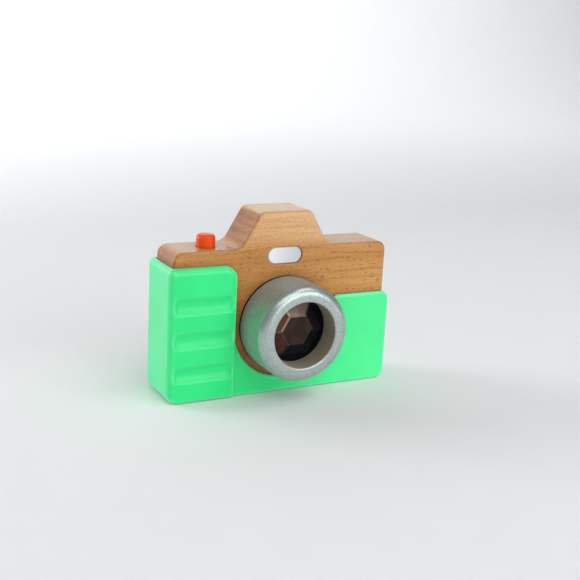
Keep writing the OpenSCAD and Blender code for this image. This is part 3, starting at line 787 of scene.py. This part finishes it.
def even_finish(
    name, grain, tints, roughness=None, bump=None, detail=2.0, rough_at=(0.3, 0.7), **constants
):
    """A finish that is the same all over. A fine noise mixes its two tints and, where they are given,
    its two roughnesses, and raises its skin by a bump's depth and strength."""
    material, shader, coords = finish(name, **constants)
    speck = noise(coords, grain, detail)
    feed(shader, Base_Color=tones(speck, (0.3, srgb(*tints[0])), (0.7, srgb(*tints[1]))))
    if roughness:
        stops = [(at, grey(value)) for at, value in zip(rough_at, roughness)]
        feed(shader, Roughness=tones(speck, *stops))
    if bump:
        relief(shader, speck, *bump)
    return material


black = even_finish(
    "black_plastic", 1800, [(20, 20, 22), (32, 32, 34)], (0.62, 0.5), (0.04 * mm, 0.5),
    Specular_IOR_Level=0.4,
)
dress(black, "lens_tube")


# Eyepiece
# A ring turned and painted like the barrel, pressed on the back end of the tube.
# A clear acrylic window sits behind its lip.

ring_front, ring_back = [-y for y in sides("eyepiece_ring")[2:4]]
ring_r, sight_r, window_seat_r, ring_edge = 20.2, 11.0, 16.93, 0.65
tube_end, window_end = ring_front - 2.715, ring_back + 1.3
eyepiece = turned(
    "eyepiece",
    [(tube_seat_r, ring_front), (tube_seat_r, tube_end), (window_seat_r, tube_end)]
    + [(window_seat_r, window_end), (sight_r, window_end)]
    + arc((sight_r + ring_edge, ring_back + ring_edge), ring_edge, 180, 270, 10)
    + arc((ring_r - ring_edge, ring_back + ring_edge), ring_edge, 270, 360, 10)
    + [(ring_r, ring_front - heel), (ring_r - heel, ring_front)],
    lens_place, "forward", fine_round,
)
settle(eyepiece)
fit(eyepiece, silver, "lens", "silver_paint", "eyepiece_ring")

clear = even_finish(
    "clear_acrylic", 260, [(226, 240, 240), (238, 247, 246)], (0.04, 0.14), detail=3.0,
    rough_at=(0.4, 0.8), Transmission_Weight=0.85, IOR=1.49, Specular_IOR_Level=0.5,
)
dress(clear, "eyepiece_window")


# Shutter button
# An orange button moulded in satin plastic, with a rounded top.
# A flange keeps it in its hole, and its stem works the switch.

stem_low, button_top = sides("shutter_button")[4:]
button_r, button_round, dome_rise, dome_flat_r, dome_flat_drop = 4.75, 1.8, 0.18, 1.6, 0.03
flange_r, flange_low, flange_high, stem_r = 6.2, 69.1, 70.6, 1.5
button = turned(
    "orange_button",
    [(0, stem_low), (stem_r, stem_low), (stem_r, flange_low), (flange_r, flange_low)]
    + [(flange_r, flange_high), (button_r, flange_high)]
    + arc((button_r - button_round, button_top - dome_rise - button_round), button_round, 0, 84, 6)
    + [(dome_flat_r, button_top - dome_flat_drop), (0, button_top)],
    (button_x, 0, 0), "Z", plain_round,
)
settle(button)
orange = even_finish(
    "orange_plastic", 1500, [(219, 68, 2), (229, 75, 4)], (0.30, 0.38), (0.02 * mm, 0.4),
    Specular_IOR_Level=0.2, Coat_Weight=0.1, Coat_Roughness=0.15,
)
fit(button, orange, "shutter", "orange_plastic", "shutter_button")


# Button spring and switch
# A coil of plated spring wire that lifts the button.
# It stands on a push switch that is soldered to the board.

def tree_of(name, **sizes):
    """A new Geometry Nodes tree with a geometry input and a named input for each size, and its inputs."""
    tree = bpy.data.node_groups.new(name, "GeometryNodeTree")
    tree.is_modifier = True
    tree.interface.new_socket("Geometry", in_out="INPUT", socket_type="NodeSocketGeometry")
    for size, kind in sizes.items():
        tree.interface.new_socket(size.replace("_", " "), in_out="INPUT", socket_type="NodeSocket" + kind)
    tree.interface.new_socket("Geometry", in_out="OUTPUT", socket_type="NodeSocketGeometry")
    return tree, node(tree, "NodeGroupInput").outputs


def close(geometry, material):
    """Ends a tree in Realize Instances and Set Material."""
    realized = output("GeometryNodeRealizeInstances", {"Geometry": geometry})
    painted = output("GeometryNodeSetMaterial", {"Geometry": realized, "Material": material})
    node(painted.id_data, "NodeGroupOutput", {"Geometry": painted})


def grow(piece, tree, **sizes):
    """Runs a tree on a piece with these sizes and keeps the plain mesh."""
    grown = piece.modifiers.new(tree.name, "NODES")
    grown.node_group = tree
    for item in tree.interface.items_tree:
        if item.in_out == "INPUT" and item.name.replace(" ", "_") in sizes:
            grown[item.identifier] = sizes[item.name.replace(" ", "_")]
    bake(piece)


steel = even_finish(
    "plated_steel", (900, 900, 4200), [(176, 178, 180), (208, 209, 210)], (0.36, 0.26),
    detail=3.0, Metallic=1.0,
)

coil_tree, size = tree_of(
    "coil_spring", Foot="Vector", Mean_Radius="Float", Height="Float", Wire="Float", Turns="Float"
)
spiral = output("GeometryNodeCurveSpiral", {
    "Resolution": 40, "Rotations": size["Turns"], "Height": size["Height"],
    "Start Radius": size["Mean Radius"], "End Radius": size["Mean Radius"],
})
section = output("GeometryNodeCurvePrimitiveCircle", {"Resolution": 12, "Radius": size["Wire"]})
wire = output("GeometryNodeCurveToMesh", {"Curve": spiral, "Profile Curve": section, "Fill Caps": True})
stood = output("GeometryNodeTransform", {"Geometry": wire, "Translation": size["Foot"]})
close(stood, steel)

spring_foot, spring_top, spring_r, wire_r, spring_turns = 64.15, 69.05, 2.3, 0.3, 3.0
spring = solid("lift_spring", [(0, 0, 0)], [])
grow(
    spring, coil_tree, Foot=(button_x * mm, 0, (spring_foot + wire_r) * mm), Mean_Radius=spring_r * mm,
    Height=(spring_top - spring_foot - 2 * wire_r) * mm, Wire=wire_r * mm, Turns=spring_turns,
)
spring.data.shade_smooth()
fit(spring, steel, "camera_body", "steel", "button_spring")
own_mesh(spring)
dress(black, "tact_switch")


# Circuit board and light
# A small green board screwed against the front of the pocket.
# It carries a white light that shines through the flash window.

laminate = even_finish(
    "solder_mask", 1400, [(24, 92, 52), (34, 112, 64)], (0.32, 0.42), Specular_IOR_Level=0.5
)
dress(laminate, "circuit_board")

# The milky plastic of the light and the window glows by emission, painted light as if the light were on.
# Across the window it fades from white on the left to a lavender painted shade on the right.
milky, shader, coords = finish("milky_plastic", Emission_Strength=0.1, Specular_IOR_Level=0.5)
grain = noise(coords, 1600, 2.0)
light_half = (window_half + window_gap) * mm
across = fade(split(coords)["X"], -light_half, light_half)
painted_glow = tones(
    across, (0.10, srgb(213, 213, 212)), (0.45, srgb(201, 201, 206)), (0.95, srgb(178, 178, 189))
)
painted_glow_base = times(painted_glow, tones(grain, (0.3, grey(0.8)), (0.7, grey(1.0))), 0.12)
satin = tones(grain, (0.3, grey(0.28)), (0.7, grey(0.36)))
feed(shader, Emission_Color=painted_glow, Base_Color=painted_glow_base, Roughness=satin)
dress(milky, "flash_led")


# Flash window
# A pill-shaped diffuser moulded in milky plastic, pressed into its seat in the front of the block.

window_front_r, window_back_r = 0.6, 0.2
window_profile = eased(window_front, window_back, window_front_r, window_back_r)
window = loft("flash_diffuser", window_corners, window_profile)
settle(window)
fit(window, milky, "camera_body", "milky_plastic", "flash_window")


# Battery tray and cells
# A tray moulded in white plastic behind the board.
# It holds three plated button cells in a row between stamped brass contacts.

white = even_finish(
    "white_plastic", 2300, [(226, 225, 220), (238, 237, 232)], (0.58, 0.46), (0.04 * mm, 0.6),
    Specular_IOR_Level=0.4,
)
dress(white, "battery_holder")
plated = even_finish(
    "cell_plating", (2600, 500, 500), [(196, 197, 198), (222, 223, 223)], (0.22, 0.32),
    detail=3.0, Metallic=1.0,
)

cell_r, can_foot_r, can_top_r, pole_r, pole_rim_r, pole_t = 5.8, 0.4, 0.7, 4.35, 0.3, 0.9
seal_out, seal_in, seal_drop = 0.35, 0.3, 0.25
for number in (1, 2, 3):
    left, right, front, back, low, high = sides(f"button_cell_{number}")
    cell_t = right - left
    can_top = cell_t - pole_t
    cell = turned(
        f"cell_{number}",
        [(0, 0)]
        + arc((cell_r - can_foot_r, can_foot_r), can_foot_r, 270, 360, 15)
        + arc((cell_r - can_top_r, can_top - can_top_r), can_top_r, 0, 90, 15)
        + [(pole_r + seal_out, can_top)]
        + [(pole_r + seal_in, can_top - seal_drop), (pole_r, can_top - seal_drop)]
        + arc((pole_r - pole_rim_r, cell_t - pole_rim_r), pole_rim_r, 0, 90, 15)
        + [(0, cell_t)],
        (left, (front + back) / 2, (low + high) / 2), "X", plain_round,
    )
    settle(cell)
    fit(cell, plated, "camera_body", "cell_steel", f"button_cell_{number}")

brass = even_finish(
    "stamped_brass", (700, 700, 3600), [(198, 168, 96), (222, 196, 124)], (0.36, 0.28),
    detail=3.0, Metallic=1.0,
)
dress(brass, "positive_contact", "negative_contact")


# Rear cover
# A plate moulded in white plastic, let in flush with the back of the block, with an opening for the door.
# Three screws through its ears hold it.

def screw_seats(spots, screw):
    """Tools that sink a countersunk seat for each screw into a back face."""
    head_r, shank_r, _ = screw
    sink, clearance, reach = head_r - shank_r, 0.06, 4.0
    profile = [(block_back - reach, sink), (block_back - sink, sink), (block_back, 0), (behind, 0)]
    return [loft("screw_seat", round_hole(x, z, head_r + clearance), profile) for x, z in spots]


door_left, door_right, door_front, door_back, door_low, door_high = sides("battery_door")
door_r, door_gap, lead_in = 1.5, 0.2, 0.3
door_way = box_outline(
    door_left - door_gap, door_right + door_gap, door_low - door_gap, door_high + door_gap, door_r
)
way_in = [(block_back - lead_in, 0), (block_back, -lead_in), (behind, -lead_in)]
ear_inset, cover_middle = 3.1, (pocket_floor + wing_top) / 2
cover_spots = [
    (cover_left + ear_inset, cover_middle), (cover_right - ear_inset, cover_middle),
    (0.0, cover_top - ear_r),
]
# A screw's head radius, shank radius and length.
cover_screw, small_screw = (1.98, 1.1, 9.0), (1.35, 0.75, 5.0)
inner_edge, cover_edge, door_edge = 0.1, 0.35, 0.3
cover = loft("rear_plate", cover_corners, eased(cover_front, cover_back, inner_edge, cover_edge))
carve(
    cover,
    loft("door_way", door_way, [(cover_front - overrun, 0)] + way_in),
    *screw_seats(cover_spots, cover_screw),
)
settle(cover)
fit(cover, white, "camera_body", "white_plastic", "rear_cover")


def arithmetic(operation, a, b):
    return output("ShaderNodeMath", {0: a, 1: b}, operation=operation)


def upright(z):
    return output("ShaderNodeCombineXYZ", {"Z": z})


def lifted(mesh, z):
    return output("GeometryNodeTransform", {"Geometry": mesh, "Translation": upright(z)})


screw_tree, size = tree_of(
    "countersunk_screws", Head_Radius="Float", Shank_Radius="Float", Head_Height="Float", Length="Float",
    Slot="Float", Depth="Float",
)
head = output("GeometryNodeMeshCone", {
    "Vertices": 48, "Radius Top": size["Head Radius"], "Radius Bottom": size["Shank Radius"],
    "Depth": size["Head Height"],
})
head = lifted(head, arithmetic("MULTIPLY", size["Head Height"], -1.0))
blade_size = output("ShaderNodeCombineXYZ", {
    "X": arithmetic("MULTIPLY", size["Head Radius"], 1.25), "Y": size["Slot"],
    "Z": arithmetic("MULTIPLY", size["Depth"], 2.0),
})
blade = output("GeometryNodeMeshCube", {"Size": blade_size})
crossed = output("GeometryNodeTransform", {"Geometry": blade, "Rotation": (0, 0, math.pi / 2)})
first_slot = {"Mesh 1": head, "Mesh 2": blade}
recessed = node(screw_tree, "GeometryNodeMeshBoolean", first_slot, operation="DIFFERENCE")
screw_tree.links.new(crossed, recessed.inputs["Mesh 2"])
shank_len = arithmetic("SUBTRACT", size["Length"], size["Head Height"])
shank_middle = arithmetic("SUBTRACT", arithmetic("MULTIPLY", shank_len, -0.5), size["Head Height"])
shank_size = {"Vertices": 24, "Radius": size["Shank Radius"], "Depth": shank_len}
shank = lifted(output("GeometryNodeMeshCylinder", shank_size), shank_middle)
screw = node(screw_tree, "GeometryNodeJoinGeometry", {"Geometry": recessed.outputs["Mesh"]})
screw_tree.links.new(shank, screw.inputs["Geometry"])
stood = output("GeometryNodeInstanceOnPoints", {
    "Points": size["Geometry"], "Instance": screw.outputs["Geometry"], "Rotation": (-math.pi / 2, 0, 0),
})
quarter_turn = {2: 0.0, 3: math.pi / 2, "Seed": 7}
any_turn = node(screw_tree, "FunctionNodeRandomValue", quarter_turn, data_type="FLOAT").outputs[1]
turned_screws = output("GeometryNodeRotateInstances", {
    "Instances": stood, "Rotation": upright(any_turn), "Local Space": True,
})
close(turned_screws, steel)


def screws(name, spots, face_y, screw, body, cad_node):
    """Countersunk screws with crossed slots, their heads just under a back face."""
    head_r, shank_r, length = screw
    sunk, slot_share, depth_share = 0.04, 0.28, 0.30
    piece = solid(name, [(x, face_y - sunk, z) for x, z in spots], [])
    grow(
        piece, screw_tree, Head_Radius=head_r * mm, Shank_Radius=shank_r * mm,
        Head_Height=(head_r - shank_r) * mm, Length=length * mm,
        Slot=head_r * slot_share * mm, Depth=head_r * depth_share * mm,
    )
    smooth(piece)
    fit(piece, steel, body, "steel", cad_node)


screws("plate_screws", cover_spots, cover_back, cover_screw, "camera_body", "cover_screws")
heads_left, heads_right, _, board_back, heads_low, heads_high = sides("board_screws")
heads_r = (heads_high - heads_low) / 2
board_spots = [(x, heads_low + heads_r) for x in (heads_left + heads_r, heads_right - heads_r)]
screws("light_screws", board_spots, board_back, small_screw, "camera_body", "board_screws")


# Battery door
# A small door moulded in the same white plastic, with finger slots, closing the cover's opening.
# Two captive screws hold it to the tray.

door_middle = (door_low + door_high) / 2
door_screw_inset = 1.75
door_spots = [(x, door_middle) for x in (door_left + door_screw_inset, door_right - door_screw_inset)]
door_corners = box_outline(door_left, door_right, door_low, door_high, door_r)
door = loft("cell_door", door_corners, eased(door_front, door_back, inner_edge, door_edge))
carve(door, *screw_seats(door_spots, small_screw))

slot_tree, size = tree_of("finger_slots", First="Vector", Count="Int", Pitch="Float", Slot="Vector")
pitch = output("ShaderNodeCombineXYZ", {"X": size["Pitch"]})
row = output("GeometryNodeMeshLine", {
    "Count": size["Count"], "Start Location": size["First"], "Offset": pitch,
})
gouge = output("GeometryNodeMeshCube", {"Size": size["Slot"]})
gouges = output("GeometryNodeInstanceOnPoints", {"Points": row, "Instance": gouge})
gouges = output("GeometryNodeRealizeInstances", {"Geometry": gouges})
cut = {"Mesh 1": size["Geometry"], "Mesh 2": gouges}
close(output("GeometryNodeMeshBoolean", cut, operation="DIFFERENCE"), white)

slot_count, slot_pitch, slot_w, slot_d, slot_h = 5, 3.65, 1.0, 0.8, 11.6
slot_left = -slot_pitch * (slot_count - 1) / 2
grow(
    door, slot_tree, First=(slot_left * mm, door_back * mm, door_middle * mm), Count=slot_count,
    Pitch=slot_pitch * mm, Slot=(slot_w * mm, slot_d * mm, slot_h * mm),
)
settle(door)
fit(door, white, "door", "white_plastic", "battery_door")
screws("captive_screws", door_spots, door_back, small_screw, "door", "door_screws")


# Studio
# A pale paper sweep, flat under the toy and curving up behind it, with sizes in metres.
# Soft lights stand in front on the right and low on the left, behind on the left, above, high in front,
# and over the sweep. The camera stands where the picture was taken from.

sweep_half, sweep_front, sweep_turn = 12.0, -25.0, 1.3
sweep_r, sweep_top, floor_z = 0.9, 3.2, -0.0002
sweep_line = [(sweep_front, floor_z)]
sweep_line += arc((sweep_turn, floor_z + sweep_r), sweep_r, 270, 360)
sweep_line += [(sweep_turn + sweep_r, sweep_top)]
ground = bpy.data.meshes.new("floor")
ground.from_pydata(
    [(x, y, z) for y, z in sweep_line for x in (-sweep_half, sweep_half)], [],
    [(2 * k, 2 * k + 1, 2 * k + 3, 2 * k + 2) for k in range(len(sweep_line) - 1)],
)
ground.shade_smooth()
floor = stand("floor", ground)
ground.materials.append(even_finish(
    "pale_paper", 40, [(233, 234, 235), (234, 235, 236)], Roughness=0.9, Specular_IOR_Level=0.2
))


def softbox(name, place, aim, width, height, watts, mirrored=True):
    """A soft light that the camera doesn't see, and that gloss shows only if it is mirrored."""
    lamp = bpy.data.lights.new(name, "AREA")
    lamp.shape, lamp.size, lamp.size_y, lamp.energy = "RECTANGLE", width, height, watts
    box = stand(name, lamp)
    box.location = place
    box.rotation_euler = (Vector(aim) - Vector(place)).to_track_quat("-Z", "Y").to_euler()
    box.visible_camera, box.visible_glossy = False, mirrored


middle = (0, 0, 0.045)
softbox("key_light", (0.6, -1.35, 0.46), middle, 1.3, 1.0, 9.5)
softbox("fill_light", (-0.8, -1.45, 0.14), middle, 1.6, 0.24, 6.4, mirrored=False)
softbox("top_light", (0.55, -0.3, 1.2), middle, 0.6, 0.6, 2.5)
softbox("side_light", (-1.1, 0.9, 0.4), middle, 0.7, 0.7, 13.5)
softbox("front_light", (-0.3, -3.0, 3.0), (-0.3, -3.0, 0.0), 3.0, 3.0, 62.0)
softbox("sweep_light", (0.0, 0.9, 1.6), (0.0, 2.2, 1.2), 3.0, 0.6, 40.0)

world = bpy.data.worlds.new("studio_air")
world.use_nodes = True
air = world.node_tree.nodes["Background"].inputs
air["Color"].default_value = (0.86, 0.88, 0.90, 1)
air["Strength"].default_value = 0.3
bpy.context.scene.world = world
bpy.context.scene.view_settings.view_transform = "Standard"

lens = bpy.data.cameras.new("camera")
lens.sensor_width, lens.lens = 36.0, 64.02
camera = stand("camera", lens)
camera_place, camera_aim = Vector((-0.23638, -0.45578, 0.18548)), Vector((0.0120, 0.0036, 0.04805))
camera_roll = math.radians(3.1)
looking = (camera_aim - camera_place).normalized().to_track_quat("-Z", "Y").to_matrix().to_4x4()
camera.matrix_world = Matrix.Translation(camera_place) @ looking @ Matrix.Rotation(camera_roll, 4, "Z")
bpy.context.scene.camera = camera
